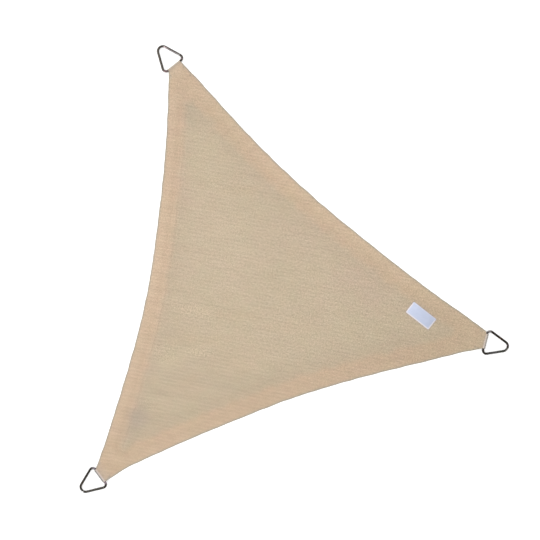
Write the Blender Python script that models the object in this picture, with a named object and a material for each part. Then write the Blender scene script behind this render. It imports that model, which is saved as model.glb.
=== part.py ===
"""Triangular shade sail that lies flat, in metres with +Z up.

One knitted cloth with curved-in edges and a turned hem. At each corner a folded strap goes into the
hem and holds a steel ring, and a bare label is sewn beside the hem. The origin is on the underside,
at the middle of the ring tips. +X runs along the lower edge and +Y points to the top corner.
"""

import math

import bmesh
import bpy
import numpy as np

# Cloth
CLOTH_THICK = 0.0016
HEM_THICK = 0.0032
HEM_STEP = 0.035  # share of the hem's width over which its inner side slopes down
EDGE_ROUND = 0.0008  # how far the folded edge is rounded in
GAP = 0.0003  # between neighbouring pieces

# Ring of round wire: a triangle with rounded corners, its straight bar at the loop
WIRE_RADIUS = 0.005
RING_BASE = 0.115  # sharp triangle on the wire's centre line, before its corners are rounded
RING_HEIGHT = 0.138
RING_TIP_RADIUS = 0.0218
RING_BASE_RADIUS = 0.0145
RING_TILT = math.radians(1.0)  # the bar lies on the strap, and the tip on the ground

# Strap loop round the bar, and its tail between the layers of the hem
STRAP_THICK = 0.0015
STRAP_WIDTH = 0.066
STRAP_RADIUS = WIRE_RADIUS + GAP + STRAP_THICK
BAR_HEIGHT = STRAP_RADIUS
TAIL_LOW = 0.0015
TAIL_HIGH = TAIL_LOW + 2 * STRAP_THICK
TAIL_START = 0.028  # from the bar's middle, where the two layers have come together
TAIL_END = 0.045
STRAP_SLOPE = math.radians(19.0)
COVER = 0.0012  # cloth over the strap
MOUTH = 0.006  # from the bar's middle back to the cloth's end
BULGE_END = 0.080  # where the cloth has come down to the hem's thickness
BULGE_FULL = 0.037  # to each side of the strap's middle line
BULGE_NONE = 0.062

# Label
LABEL_SIZE = (0.1265, 0.0585, 0.0009)
LABEL_PLACE = (0.6880, -0.3277)
LABEL_TURN = math.radians(-56.8)
LABEL_TILT = math.radians(1.6)  # its long side beside the hem lies on the hem's edge
LABEL_CORNER = 0.003

# Corners, in order round the sail, seen from above:
# bar x, bar y, heading of the ring (degrees), cloth to the left and right of the middle line at the
# mouth, and distance from the sail's middle to the hem's inner corner
CORNERS = {
    "top": dict(x=0.0093, y=1.0617, heading=110.0, left=0.0365, right=0.0335, hem=0.881),
    "left": dict(x=-0.8766, y=-0.5452, heading=198.0, left=0.0335, right=0.0400, hem=0.870),
    "right": dict(x=0.9160, y=-0.5267, heading=-32.5, left=0.0470, right=0.0325, hem=0.903),
}
# How far the strap sits to the left of the middle line, and how loosely it runs round the bar
STRAP_SEATS = {
    "top": dict(shift=0.0015, slack=0.0),
    "left": dict(shift=-0.0020, slack=0.0025),
    "right": dict(shift=0.0030, slack=0.0025),
}

# Edges: hem width, and how far the edge lies inside the straight line between its two ends,
# at these shares of that line
STATIONS = (1 / 16, 1 / 8, 1 / 4, 3 / 8, 1 / 2, 5 / 8, 3 / 4, 7 / 8, 15 / 16)
EDGES = (
    dict(start="top", end="left", hem=0.079,
         sag=(0.017, 0.033, 0.057, 0.072, 0.082, 0.077, 0.058, 0.032, 0.018)),
    dict(start="left", end="right", hem=0.084,
         sag=(0.025, 0.036, 0.053, 0.064, 0.071, 0.064, 0.047, 0.025, 0.015)),
    dict(start="right", end="top", hem=0.082,
         sag=(0.009, 0.022, 0.040, 0.052, 0.060, 0.058, 0.045, 0.022, 0.009)),
)

# Where the cloth stands a little off the ground: place, half length, half width, direction (degrees)
# and height
SWELLS = (
    dict(name="long_crease", x=-0.150, y=-0.010, length=0.330, width=0.075, turn=-33.0, height=0.0070),
    dict(name="left_rise", x=-0.400, y=-0.190, length=0.210, width=0.110, turn=-26.0, height=0.0060),
    dict(name="low_rise", x=-0.060, y=-0.330, length=0.300, width=0.090, turn=-8.0, height=0.0055),
    dict(name="right_rise", x=0.400, y=-0.160, length=0.200, width=0.150, turn=-50.0, height=0.0065),
    dict(name="upper_rise", x=0.000, y=0.420, length=0.260, width=0.130, turn=-70.0, height=0.0060),
    dict(name="left_edge", x=-0.340, y=0.260, length=0.190, width=0.080, turn=62.0, height=0.0050),
    dict(name="right_edge", x=0.330, y=0.360, length=0.210, width=0.085, turn=-58.0, height=0.0055),
    dict(name="lower_edge", x=0.200, y=-0.450, length=0.220, width=0.075, turn=3.0, height=0.0050),
)

# Round the sail's middle the underside lies flat on the ground
CALM_RADIUS = 0.12
CALM_FADE = 0.10

# How finely the shapes are cut
EDGE_STEPS = 30
MOUTH_STEPS = 4
END_CROWDING = 0.6  # 0 spaces an edge's points evenly, towards 1 crowds them at the corners
HEM_LEVELS = (0.05, 0.12, 0.20, 0.31, 0.46, 0.72, 1 - HEM_STEP, 1.0)
PANEL_LEVELS = (0.10, 0.21, 0.33, 0.46, 0.60, 0.74, 0.88)
ARC_STEPS = 7
STRAP_STEPS = 16

COLOURS = {
    "cloth": dict(colour=(0.58, 0.46, 0.34), roughness=0.90, metallic=0.0),
    "webbing": dict(colour=(0.66, 0.57, 0.47), roughness=0.85, metallic=0.0),
    "steel": dict(colour=(0.55, 0.54, 0.52), roughness=0.22, metallic=1.0),
    "label": dict(colour=(0.80, 0.79, 0.84), roughness=0.70, metallic=0.0),
}


def clear_scene():
    for obj in list(bpy.data.objects):
        bpy.data.objects.remove(obj, do_unlink=True)


def make_material(name):
    look = COLOURS[name]
    material = bpy.data.materials.new(name)
    material.use_nodes = True
    shader = material.node_tree.nodes["Principled BSDF"]
    shader.inputs["Base Color"].default_value = (*look["colour"], 1.0)
    shader.inputs["Roughness"].default_value = look["roughness"]
    shader.inputs["Metallic"].default_value = look["metallic"]
    return material


def add_object(name, mesh, material=None):
    obj = bpy.data.objects.new(name, mesh)
    bpy.context.scene.collection.objects.link(obj)
    if material:
        mesh.materials.append(material)
    return obj


def ease(share):
    """0 to 1 with level ends."""
    share = np.clip(share, 0.0, 1.0)
    return share * share * (3 - 2 * share)


def in_corner(corner, out, left):
    """The place that lies this far outwards and to the left of a corner's bar."""
    heading = math.radians(corner["heading"])
    ahead = np.array([math.cos(heading), math.sin(heading)])
    aside = np.array([-ahead[1], ahead[0]])
    return np.array([corner["x"], corner["y"]]) + out * ahead + left * aside


def from_corner(corner, points):
    """How far outwards and to the left of a corner's bar these points lie."""
    origin = in_corner(corner, 0.0, 0.0)
    ahead = in_corner(corner, 1.0, 0.0) - origin
    aside = in_corner(corner, 0.0, 1.0) - origin
    return (points - origin) @ ahead, (points - origin) @ aside


def edge_ends(edge):
    start, end = CORNERS[edge["start"]], CORNERS[edge["end"]]
    return in_corner(start, -MOUTH, start["left"]), in_corner(end, -MOUTH, -end["right"])


def edge_points(edge, shares):
    """Points on a curved edge, by a smooth curve through the stations' sags."""
    start, end = edge_ends(edge)
    along = end - start
    inward = np.array([-along[1], along[0]]) / np.linalg.norm(along)
    knots = np.array([0.0, *STATIONS, 1.0])
    sags = np.array([0.0, *edge["sag"], 0.0])
    slopes = np.gradient(sags, knots)
    piece = np.clip(np.searchsorted(knots, shares) - 1, 0, len(knots) - 2)
    width = knots[piece + 1] - knots[piece]
    t = (shares - knots[piece]) / width
    sag = (
        sags[piece] * (2 * t**3 - 3 * t**2 + 1)
        + slopes[piece] * width * (t**3 - 2 * t**2 + t)
        + sags[piece + 1] * (3 * t**2 - 2 * t**3)
        + slopes[piece + 1] * width * (t**3 - t**2)
    )
    return start + np.outer(shares, along) + np.outer(sag, inward)


def hem_points(edge, shares):
    """Points on the hem's inner line, square in from the edge."""
    step = 1e-3
    ahead = edge_points(edge, shares + step) - edge_points(edge, shares - step)
    ahead /= np.linalg.norm(ahead, axis=1)[:, None]
    return edge_points(edge, shares) + edge["hem"] * np.stack([-ahead[:, 1], ahead[:, 0]], axis=1)


def hem_reach(edge, corner):
    """The share of the edge at which its hem's inner line meets the corner's inner end."""
    towards = np.array([corner["x"], corner["y"]])
    towards /= np.linalg.norm(towards)
    near_start = corner is CORNERS[edge["start"]]
    shares = np.linspace(0.01, 0.30, 200) if near_start else np.linspace(0.99, 0.70, 200)
    depth = hem_points(edge, shares) @ towards
    return float(np.interp(-corner["hem"], -depth, shares))


def outline():
    """Matching points round the cloth's edge and round the hem's inner line."""
    even = np.arange(EDGE_STEPS) / EDGE_STEPS
    shares = even - END_CROWDING * np.sin(2 * math.pi * even) / (2 * math.pi)
    outer, inner = [], []
    for number, edge in enumerate(EDGES):
        first = hem_reach(edge, CORNERS[edge["start"]])
        last = hem_reach(edge, CORNERS[edge["end"]])
        following = EDGES[(number + 1) % len(EDGES)]
        mouth = np.arange(MOUTH_STEPS)[:, None] / MOUTH_STEPS
        outer_stop, outer_next = edge_ends(edge)[1], edge_ends(following)[0]
        inner_stop = hem_points(edge, np.array([last]))[0]
        next_first = hem_reach(following, CORNERS[following["start"]])
        inner_next = hem_points(following, np.array([next_first]))[0]
        outer += [edge_points(edge, shares), outer_stop + mouth * (outer_next - outer_stop)]
        inner += [
            hem_points(edge, first + shares * (last - first)),
            inner_stop + mouth * (inner_next - inner_stop),
        ]
    return np.concatenate(outer), np.concatenate(inner)


def swell_height(points):
    """How far the cloth's underside stands off the ground."""
    height = np.zeros(len(points))
    for swell in SWELLS:
        turn = math.radians(swell["turn"])
        ahead = np.array([math.cos(turn), math.sin(turn)])
        aside = np.array([-ahead[1], ahead[0]])
        offset = points - (swell["x"], swell["y"])
        far = ((offset @ ahead) / swell["length"]) ** 2 + ((offset @ aside) / swell["width"]) ** 2
        height = np.maximum(height, swell["height"] * np.clip(1 - far, 0, 1) ** 2)
    return height * ease((np.linalg.norm(points, axis=1) - CALM_RADIUS) / CALM_FADE)


def strap_top(back):
    """Height of the strap's upper side, this far back from the bar's middle."""
    touch_back = STRAP_RADIUS * math.sin(STRAP_SLOPE)
    touch_high = BAR_HEIGHT + STRAP_RADIUS * math.cos(STRAP_SLOPE)
    return np.interp(back, [touch_back, TAIL_START, TAIL_END], [touch_high, TAIL_HIGH, TAIL_HIGH])


def corner_rise(points):
    """How much higher than the hem the cloth's upper side is over the straps."""
    rise = np.zeros(len(points))
    for name, corner in CORNERS.items():
        out, left = from_corner(corner, points)
        left = left - STRAP_SEATS[name]["shift"]
        over = strap_top(-out) + GAP + COVER - HEM_THICK
        over *= 1 - ease((-out - TAIL_END) / (BULGE_END - TAIL_END))
        over *= 1 - ease((np.abs(left) - BULGE_FULL) / (BULGE_NONE - BULGE_FULL))
        rise = np.where(-out < BULGE_END, np.maximum(rise, over), rise)
    return rise


def closed_sheet(name, rings):
    """One closed body through rings of points, the first and last of which are closed by a fan."""
    mesh = bpy.data.meshes.new(name)
    model = bmesh.new()
    loops = [[model.verts.new(point) for point in ring] for ring in rings]
    for one, other in zip(loops, loops[1:]):
        for i in range(len(one)):
            j = (i + 1) % len(one)
            model.faces.new((one[i], one[j], other[j], other[i]))
    for ring, turned in ((loops[0], True), (loops[-1], False)):
        centre = model.verts.new(sum((v.co for v in ring[1:]), ring[0].co.copy()) / len(ring))
        for i in range(len(ring)):
            j = (i + 1) % len(ring)
            model.faces.new((ring[j], ring[i], centre) if turned else (ring[i], ring[j], centre))
    model.to_mesh(mesh)
    model.free()
    mesh.shade_smooth()
    mesh.set_sharp_from_angle(angle=math.radians(40))
    return mesh


def make_cloth(material):
    outer, inner = outline()
    inset = (inner - outer) / np.linalg.norm(inner - outer, axis=1)[:, None] * EDGE_ROUND
    plans = [outer + inset]
    plans += [outer + level * (inner - outer) for level in HEM_LEVELS]
    plans += [inner * (1 - level) for level in PANEL_LEVELS]
    hem_count = len(HEM_LEVELS)

    def lower(plan):
        return np.column_stack([plan, swell_height(plan)])

    def upper(plan, in_hem):
        thick = HEM_THICK + corner_rise(plan) if in_hem else CLOTH_THICK
        return np.column_stack([plan, swell_height(plan) + thick])

    side = np.column_stack([outer, swell_height(outer) + (HEM_THICK + corner_rise(outer)) / 2])
    tops = [upper(plan, number < hem_count) for number, plan in enumerate(plans)]
    rings = [lower(plan) for plan in reversed(plans)] + [side] + tops
    cloth = add_object("sail_cloth", closed_sheet("sail_cloth", rings), material)
    for name in CORNERS:
        cutter = strap_body(f"pocket_{name}", name, GAP)
        cutter.hide_render = True
        cutter.display_type = "WIRE"
        cut = cloth.modifiers.new(cutter.name, "BOOLEAN")
        cut.operation = "DIFFERENCE"
        cut.solver = "EXACT"
        cut.object = cutter
    return cloth


def round_bar(radius, angles, slack):
    """Points round the bar, those on its outer half moved outwards by the slack."""
    return [
        (radius * math.cos(a) + (slack if math.cos(a) > 0 else 0), BAR_HEIGHT + radius * math.sin(a))
        for a in angles
    ]


def strap_outline(grow, slack):
    """The folded strap from its side: round the bar, then down to its tail. Out is +X, up is +Z."""
    radius = STRAP_RADIUS + grow
    low, high = TAIL_LOW - grow, TAIL_HIGH + grow
    first = -math.pi + math.asin((BAR_HEIGHT - low) / radius)
    last = math.pi / 2 + STRAP_SLOPE
    points = round_bar(radius, np.linspace(first, last, STRAP_STEPS + 1), slack)
    points += [(-TAIL_START - grow, high), (-TAIL_END - grow, high), (-TAIL_END - grow, low)]
    return points


def bore_outline(slack):
    """The hole through which the bar runs, its flats one gap clear of the wire."""
    radius = (WIRE_RADIUS + GAP) / math.cos(math.pi / STRAP_STEPS)
    turn = 2 * math.pi / STRAP_STEPS
    return round_bar(radius, [turn * (i + 0.5) for i in range(STRAP_STEPS)], slack)


def strap_body(name, corner_name, grow=0.0, bored=False, material=None):
    """The strap's outline drawn across its width, with the bar's hole if it is bored."""
    mesh = bpy.data.meshes.new(name)
    model = bmesh.new()
    corner, seat = CORNERS[corner_name], STRAP_SEATS[corner_name]
    half = STRAP_WIDTH / 2 + grow
    loops = [strap_outline(grow, seat["slack"])]
    if bored:
        loops.append(bore_outline(seat["slack"]))
    for loop in loops:
        ring = [model.verts.new((x, seat["shift"] - half, z)) for x, z in loop]
        for i, vertex in enumerate(ring):
            model.edges.new((vertex, ring[(i + 1) % len(ring)]))
    bmesh.ops.triangle_fill(model, use_beauty=True, edges=model.edges[:], normal=(0, -1, 0))
    across = bmesh.ops.extrude_face_region(model, geom=model.faces[:], use_keep_orig=True)
    moved = [item for item in across["geom"] if isinstance(item, bmesh.types.BMVert)]
    bmesh.ops.translate(model, verts=moved, vec=(0, 2 * half, 0))
    bmesh.ops.recalc_face_normals(model, faces=model.faces[:])
    model.to_mesh(mesh)
    model.free()
    mesh.shade_smooth()
    mesh.set_sharp_from_angle(angle=math.radians(50))
    strap = add_object(name, mesh, material)
    strap.location = (corner["x"], corner["y"], 0)
    strap.rotation_euler = (0, 0, math.radians(corner["heading"]))
    return strap


def ring_path():
    """The wire's centre line: out is +X, with the straight bar on X = 0."""
    half_base = RING_BASE / 2
    peaks = [
        ((0, -half_base), RING_BASE_RADIUS),
        ((RING_HEIGHT, 0), RING_TIP_RADIUS),
        ((0, half_base), RING_BASE_RADIUS),
    ]
    path = []
    for number, (peak, radius) in enumerate(peaks):
        peak = np.array(peak)
        back = np.array(peaks[number - 1][0]) - peak
        ahead = np.array(peaks[(number + 1) % len(peaks)][0]) - peak
        back, ahead = back / np.linalg.norm(back), ahead / np.linalg.norm(ahead)
        half = math.acos(back @ ahead) / 2
        middle = peak + (back + ahead) / np.linalg.norm(back + ahead) * radius / math.sin(half)
        first = math.atan2(*(peak + back * radius / math.tan(half) - middle)[::-1])
        sweep = math.pi - 2 * half
        for step in range(ARC_STEPS + 1):
            angle = first + sweep * step / ARC_STEPS
            path.append(middle + radius * np.array([math.cos(angle), math.sin(angle)]))
    return path


def make_ring(name, corner, material):
    curve = bpy.data.curves.new(name, "CURVE")
    curve.dimensions = "3D"
    curve.bevel_depth = WIRE_RADIUS
    curve.bevel_resolution = 4
    path = ring_path()
    spline = curve.splines.new("POLY")
    spline.points.add(len(path) - 1)
    for point, (x, y) in zip(spline.points, path):
        point.co = (x, y, 0, 1)
    spline.use_cyclic_u = True
    ring = add_object(name, curve)
    curve.materials.append(material)
    ring.location = (corner["x"], corner["y"], BAR_HEIGHT)
    ring.rotation_euler = (0, RING_TILT, math.radians(corner["heading"]))
    return ring


def make_label(material):
    """A thin rectangle with rounded corners on the panel."""
    long, short, thick = LABEL_SIZE
    mesh = bpy.data.meshes.new("label")
    model = bmesh.new()
    bmesh.ops.create_cube(model, size=1.0)
    bmesh.ops.scale(model, vec=(long, short, thick), verts=model.verts[:])
    upright = [e for e in model.edges if abs(e.verts[0].co.z - e.verts[1].co.z) > thick / 2]
    bmesh.ops.bevel(model, geom=upright, offset=LABEL_CORNER, segments=3, affect="EDGES")
    model.to_mesh(mesh)
    model.free()
    label = add_object("label", mesh, material)
    raised = short / 2 * math.sin(LABEL_TILT)
    label.location = (*LABEL_PLACE, CLOTH_THICK + GAP + thick / 2 + raised)
    label.rotation_euler = (LABEL_TILT, 0, LABEL_TURN)
    return label


def main():
    clear_scene()
    materials = {name: make_material(name) for name in COLOURS}
    make_cloth(materials["cloth"])
    for name, corner in CORNERS.items():
        strap_body(f"loop_{name}", name, bored=True, material=materials["webbing"])
        make_ring(f"ring_{name}", corner, materials["steel"])
    make_label(materials["label"])


main()
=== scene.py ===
"""The looks of a triangular shade sail that lies flat, in metres with +Z up.

The knitted cloth is one thin sheet whose edges are turned under to a stitched hem. A folded strap holds
a polished ring at each corner, and a bare woven label is sewn beside the hem.
"""

import math
from collections import namedtuple

import bpy
import numpy as np
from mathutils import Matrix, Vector
from mathutils.geometry import delaunay_2d_cdt
from mathutils.kdtree import KDTree


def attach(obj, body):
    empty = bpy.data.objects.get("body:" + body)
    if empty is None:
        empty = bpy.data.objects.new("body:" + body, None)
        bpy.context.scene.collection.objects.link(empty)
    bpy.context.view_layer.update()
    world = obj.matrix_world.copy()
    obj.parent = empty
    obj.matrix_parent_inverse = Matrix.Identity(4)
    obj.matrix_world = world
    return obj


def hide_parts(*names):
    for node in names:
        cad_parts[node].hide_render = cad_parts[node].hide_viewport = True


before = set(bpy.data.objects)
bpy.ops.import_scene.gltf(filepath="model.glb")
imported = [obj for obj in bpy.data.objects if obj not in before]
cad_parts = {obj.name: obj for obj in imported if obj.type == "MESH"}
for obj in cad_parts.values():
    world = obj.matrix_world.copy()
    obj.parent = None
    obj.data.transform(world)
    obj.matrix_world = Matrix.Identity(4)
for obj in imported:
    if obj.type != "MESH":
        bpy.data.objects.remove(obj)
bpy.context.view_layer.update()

TAU = 2 * math.pi
MM = 0.001


def table(columns, *rows):
    """Rows whose columns have these names."""
    row_with = namedtuple("Row", columns)
    return [row_with(*row) for row in rows]


# Photograph: its scale and turn (degrees) in the row frame, and where the frame's origin falls in it
PIXEL = 2.0 / 454
PHOTO_SIDE = 540
PHOTO_TURN = 18.64
ORIGIN_PIXEL = (249.52, 294.83)
LENS = 85.0
SENSOR = 36.0

# Corners, in order round the sail, seen from above: the bar's middle, the ring's heading (degrees), the
# cloth to the left and right of the middle line at the mouth, how far the hem's inner corner is from the
# middle, how far the strap sits to the left, and how loosely it runs round the bar
CORNERS = {
    "top": dict(x=0.0093, y=1.0617, heading=110.0, left=0.0365, right=0.0335, hem=0.881,
                shift=0.0015, slack=0.0),
    "left": dict(x=-0.8766, y=-0.5452, heading=198.0, left=0.0335, right=0.0400, hem=0.870,
                 shift=-0.0020, slack=0.0014),
    "right": dict(x=0.9160, y=-0.5267, heading=-32.5, left=0.0470, right=0.0325, hem=0.903,
                  shift=0.0030, slack=0.0012),
}
MOUTH = 6 * MM  # from the bar's middle back to the cloth's end

# Edges: hem width, and how far the edge lies inside the straight line between its ends at the stations
STATIONS = (1 / 16, 1 / 8, 1 / 4, 3 / 8, 1 / 2, 5 / 8, 3 / 4, 7 / 8, 15 / 16)
EDGES = (
    dict(start="top", end="left", hem=0.079,
         sag=(0.017, 0.033, 0.057, 0.072, 0.082, 0.077, 0.058, 0.032, 0.018)),
    dict(start="left", end="right", hem=0.084,
         sag=(0.025, 0.036, 0.053, 0.064, 0.071, 0.064, 0.047, 0.025, 0.015)),
    dict(start="right", end="top", hem=0.082,
         sag=(0.009, 0.022, 0.040, 0.052, 0.060, 0.058, 0.045, 0.022, 0.009)),
)
EDGE_LENGTH = 1.8  # about
EDGE_WOBBLE = 0.6 * MM
EDGE_WOBBLE_ENDS = 0.04  # the share of an edge over which its wobble fades at its ends

# Cloth
LAYER = 1.2 * MM
REST = 0.15 * MM  # how far the lowest layer's underside stays off the ground
BETWEEN = 0.15 * MM  # between the layers of the hem
HEM_TOP = REST + 2 * LAYER + BETWEEN
DRAPE = 3.5 * MM  # how far the upper layer takes to come down past the turned edge
TURN_WIDTH = 14 * MM  # the raw edge that is turned in once more along the hem's inner line
TURN_RISE = 0.7 * MM
STITCH_LINES = (-2.5 * MM, -12.0 * MM)  # beside the hem's inner line, towards the edge
GROOVE = 0.45 * MM
GROOVE_PLAIN = 0.75  # the share of it that is there all along, and how much it comes and goes
GROOVE_UNEVEN = 0.35
GROOVE_WIDTH = 1.8 * MM
LIFT_SOFT = 0.3 * MM  # how softly the cloth leaves the ground

# Strap
WIRE_RADIUS = 5 * MM
GAP = 0.3 * MM
STRAP_THICK = 1.5 * MM
STRAP_WIDTH = 66 * MM
STRAP_RIBS = 28
STRAP_RIDGE = 0.10 * MM
STRAP_RADIUS = WIRE_RADIUS + GAP + STRAP_THICK
BAR_HEIGHT = STRAP_RADIUS
TAIL_LOW = 1.5 * MM
TAIL_HIGH = TAIL_LOW + 2 * STRAP_THICK
TAIL_START = 28 * MM
TAIL_END = 45 * MM
TAIL_NEAR = 12 * MM  # where the lower layer begins to rise to the bar
STRAP_UNDER = math.radians(24.0)
STRAP_ROUND_STEPS = 26
STRAP_SLOPE = math.radians(19.0)
BULGE_END = 80 * MM
BULGE_FULL = 37 * MM
BULGE_NONE = 62 * MM

# Ring of round wire, and where along it the weld lies at each corner
WIRE_SIDES = 20
RING_BASE = 115 * MM
RING_HEIGHT = 138 * MM
RING_TIP_RADIUS = 21.8 * MM
RING_BASE_RADIUS = 14.5 * MM
RING_TILT = math.radians(1.0)
ARC_STEPS = 14
BAR_STEPS = 10
WELDS = {"top": 0.03, "left": 0.80, "right": 0.42}
WELD_WIDTH = 2.5 * MM
WELD_RISE = 0.05  # of the wire's radius

# Label
LABEL_SIZE = (126.5 * MM, 58.5 * MM)
LABEL_STEPS = (48, 24)
LABEL_THICK = 0.7 * MM
LABEL_PLACE = (0.6865, -0.3286)
LABEL_TURN = -56.8
LABEL_CORNER = 5.5 * MM
LABEL_BORDER = 5.6 * MM
LABEL_STITCH = 2.4 * MM
LABEL_PUFF = 0.5 * MM
LABEL_PUFF_WIDTH = 12 * MM
LABEL_WAVES = 0.18 * MM
LABEL_WAVES_WIDTH = 14 * MM
LABEL_FOLD = 0.22 * MM  # how much higher the folded border is
LABEL_FOLD_SOFT = 1.2 * MM
LABEL_DRAWN = 0.25 * MM  # how deep the stitches draw it in, and how wide
LABEL_DRAWN_WIDTH = 0.9 * MM
LABEL_RIM = 0.8 * MM  # how far in its rim rounds off

# Sewing: the hem's and the straps' stitches, and the seams back from the bar and in from the strap's sides
HEM_PITCH = 5.2 * MM
HEM_STITCH = dict(length=4.3 * MM, radius=0.38 * MM)
STRAP_PITCH = 3.6 * MM
STRAP_STITCH = dict(length=3.0 * MM, radius=0.36 * MM)
STITCH_SIDES = 5
STITCH_SHARES = (-1.0, -0.45, 0.45, 1.0)
SEAM_END = 8.5 * MM
SEAM_NEAR = 12 * MM
SEAM_FAR = 42 * MM
SEAM_MARGIN = 4 * MM

# Knit: rows of loops run this way (degrees), four courses to a row
KNIT_TURN = -29.14
ROW = 16.5 * MM
COURSE = ROW / 4
LOOP = 3.4 * MM
ROW_RELIEF = 0.16 * MM

# Where the cloth stands a little off the ground, as its solid does, in ovals of this half length and
# half width that are turned this way (degrees)
SWELLS = table(
    "x y length width turn height",
    (-0.150, -0.010, 0.330, 0.075, -33.0, 0.0070),  # along the long crease
    (-0.400, -0.190, 0.210, 0.110, -26.0, 0.0060),
    (-0.060, -0.330, 0.300, 0.090, -8.0, 0.0055),
    (0.400, -0.160, 0.200, 0.150, -50.0, 0.0065),
    (0.000, 0.420, 0.260, 0.130, -70.0, 0.0060),
    (-0.340, 0.260, 0.190, 0.080, 62.0, 0.0050),  # by the left edge
    (0.330, 0.360, 0.210, 0.085, -58.0, 0.0055),  # by the right edge
    (0.200, -0.450, 0.220, 0.075, 3.0, 0.0050),  # by the lower edge
)
CALM_RADIUS = 0.12  # the cloth lies flat round the frame's origin
CALM_FADE = 0.10
LINE_ENDS = 0.35  # the share of a crease or pulled row over which each of its ends fades

# Creases, with how far the middle bows to the left. A trough's height is negative
CREASES = table(
    "start end bow width height",
    ((-0.345, 0.140), (0.075, -0.087), 0.012, 0.011, -0.0046),
    ((-0.350, 0.098), (0.060, -0.118), 0.010, 0.018, 0.0030),
    ((0.100, -0.092), (0.380, -0.300), -0.010, 0.011, -0.0040),
    ((0.090, -0.125), (0.360, -0.325), -0.008, 0.018, 0.0024),
    ((-0.470, -0.060), (-0.210, -0.180), 0.015, 0.022, 0.0024),
    ((-0.440, -0.150), (-0.150, -0.290), -0.012, 0.014, -0.0026),
    ((-0.600, -0.238), (-0.290, -0.398), 0.006, 0.011, -0.0038),
    ((-0.590, -0.275), (-0.290, -0.425), 0.010, 0.018, 0.0024),
    ((-0.120, -0.255), (0.240, -0.330), 0.018, 0.016, -0.0022),
    ((-0.090, 0.330), (0.130, 0.170), 0.010, 0.020, 0.0022),
    ((-0.170, 0.520), (0.010, 0.410), -0.008, 0.018, 0.0018),
    ((0.210, 0.120), (0.430, -0.060), 0.012, 0.024, 0.0022),
)

# Pull creases that fan out from a corner's strap: how far each turns off the corner's line (degrees), and
# how far back from the bar it starts and ends
PULLS = table(
    "turn start end width height",
    (-8.0, 0.060, 0.230, 0.0080, 0.0012),
    (-3.0, 0.085, 0.330, 0.0100, 0.0011),
    (2.5, 0.070, 0.270, 0.0090, 0.0013),
    (7.5, 0.060, 0.200, 0.0080, 0.0010),
)

# Ruffles where the hem's stitching has drawn the cloth in: height along each edge
RUFFLES = (0.0018, 0.0010, 0.0012)
RUFFLE_LONGEST = 0.075
RUFFLE_SHORTEST = 0.032
RUFFLE_RISE = 0.15  # how much more of each wave stands up than lies flat
RUFFLE_ENDS = 0.12  # the share of an edge over which they fade at its ends
RUFFLE_REACH = 0.045  # how far inside the hem's line they end, and over what width they fade there
RUFFLE_FADE = 0.040

# How finely the sheet is cut: along the edges, in the panel, by lines beside the hem's line and the edge,
# round the fold, and under the hem (shares of its width)
EDGE_STEPS = 320
MOUTH_STEPS = 14
LATTICE_ALONG = 9.0 * MM
LATTICE_REACH = 1.3
LATTICE_CLEAR = 3.0 * MM
HEM_LINES = tuple(q * MM for q in (-16, -13.5, -12, -10.5, -7, -4, -2.5, -1, 1, 3.5, 7))
EDGE_LINES = tuple(q * MM for q in (3.0, 6.5))
PANEL_LINES = (2.0 * MM, 5.0 * MM)
PANEL_CLEAR = 8 * MM
FOLD_STEPS = 8
FOLD_BULGE = 2.2 * MM
FOLD_INSIDE = 0.3  # how far out the fold's inner side bulges, as a share of its outer side
UNDER_SHARES = (0.0, 0.03, 0.08, 0.16, 0.28, 0.42, 0.56, 0.70, 0.82, 0.92, 0.985)

# Colours of the cloth: its panel, its three hems, and the painted shade, partly grime, along its turned
# edge.
# Each hem's colour gives way to the panel's between these places inside the hem's line
PANEL_TINT = np.array([0.4765, 0.3865, 0.2735])
HEM_TINTS = np.array([[0.524, 0.391, 0.274], [0.500, 0.372, 0.257], [0.512, 0.386, 0.266]])
HEM_FADE = (-24 * MM, 14 * MM)
HEM_FADE_WANDER = 4 * MM
HEM_MEET = 0.06  # the share of an edge over which its colour turns into the next one's
# painted shade, partly grime, along the turned edge: its colour, reach and fade, and how much is left at the
# mouths
EDGE_SHADE_AND_GRIME = np.array([0.735, 0.835, 0.93])
EDGE_SHADE_AND_GRIME_REACH = 6.72 * MM
EDGE_SHADE_AND_GRIME_FADE = 3.78 * MM
EDGE_SHADE_AND_GRIME_AT_MOUTH = 0.2
# Bands along the hems: how far inside the hem's line they lie (mm, for each hem), how wide they are (mm),
# and by how much they change the colour, or its red, green and blue, at each hem
HEM_BANDS = table(
    "at width change",
    ((-30, -40, -27), 13, [[-0.045], [-0.034], [-0.044]]),
    # painted light that lifts the shade at the hem's inner step
    ((0, -12, 0), 10, [[0.040, 0.030, 0.032], [0.014, 0.010, 0.004], [0.014, 0.002, -0.006]]),
    ((-62, -62, -60), 17, [[0.018, 0.022, 0.032], [-0.012, -0.008, -0.006], [0.000, 0.004, 0.014]]),
    # painted shade on the panel beside the hem, in this row and the next
    ((14, 14, 14), 26, [[-0.012, -0.026, -0.012], [-0.045, -0.060, -0.060], [-0.030, -0.042, -0.034]]),
    ((55, 55, 55), 45, [[-0.008], [-0.026], [-0.014]]),
)
# The same beside the turned edge, by how far inside the edge it lies: a darker line, painted shade of the
# rolled edge and partly grime
EDGE_BANDS = table(
    "at width change",
    ((6.2, 6.2, 6.2), 3.2, [[-0.052, -0.014, 0.010], [-0.072, -0.024, 0.006], [-0.066, -0.036, -0.005]]),
)
# Lighter and darker lengths of the hems, as shares of the edge
HEM_LENGTHS = table(
    "edge at width change",
    (0, 0.48, 0.24, 0.062),
    (0, 0.50, 2.00, -0.020),
    (1, 0.00, 0.25, 0.024),
    (1, 1.00, 0.30, -0.030),
    (2, 0.00, 0.10, -0.028),
    (2, 0.58, 0.20, 0.028),
)
HEM_UNEVEN = np.array([0.013, 0.003, 0.004])  # and short uneven lengths, for each hem
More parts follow.
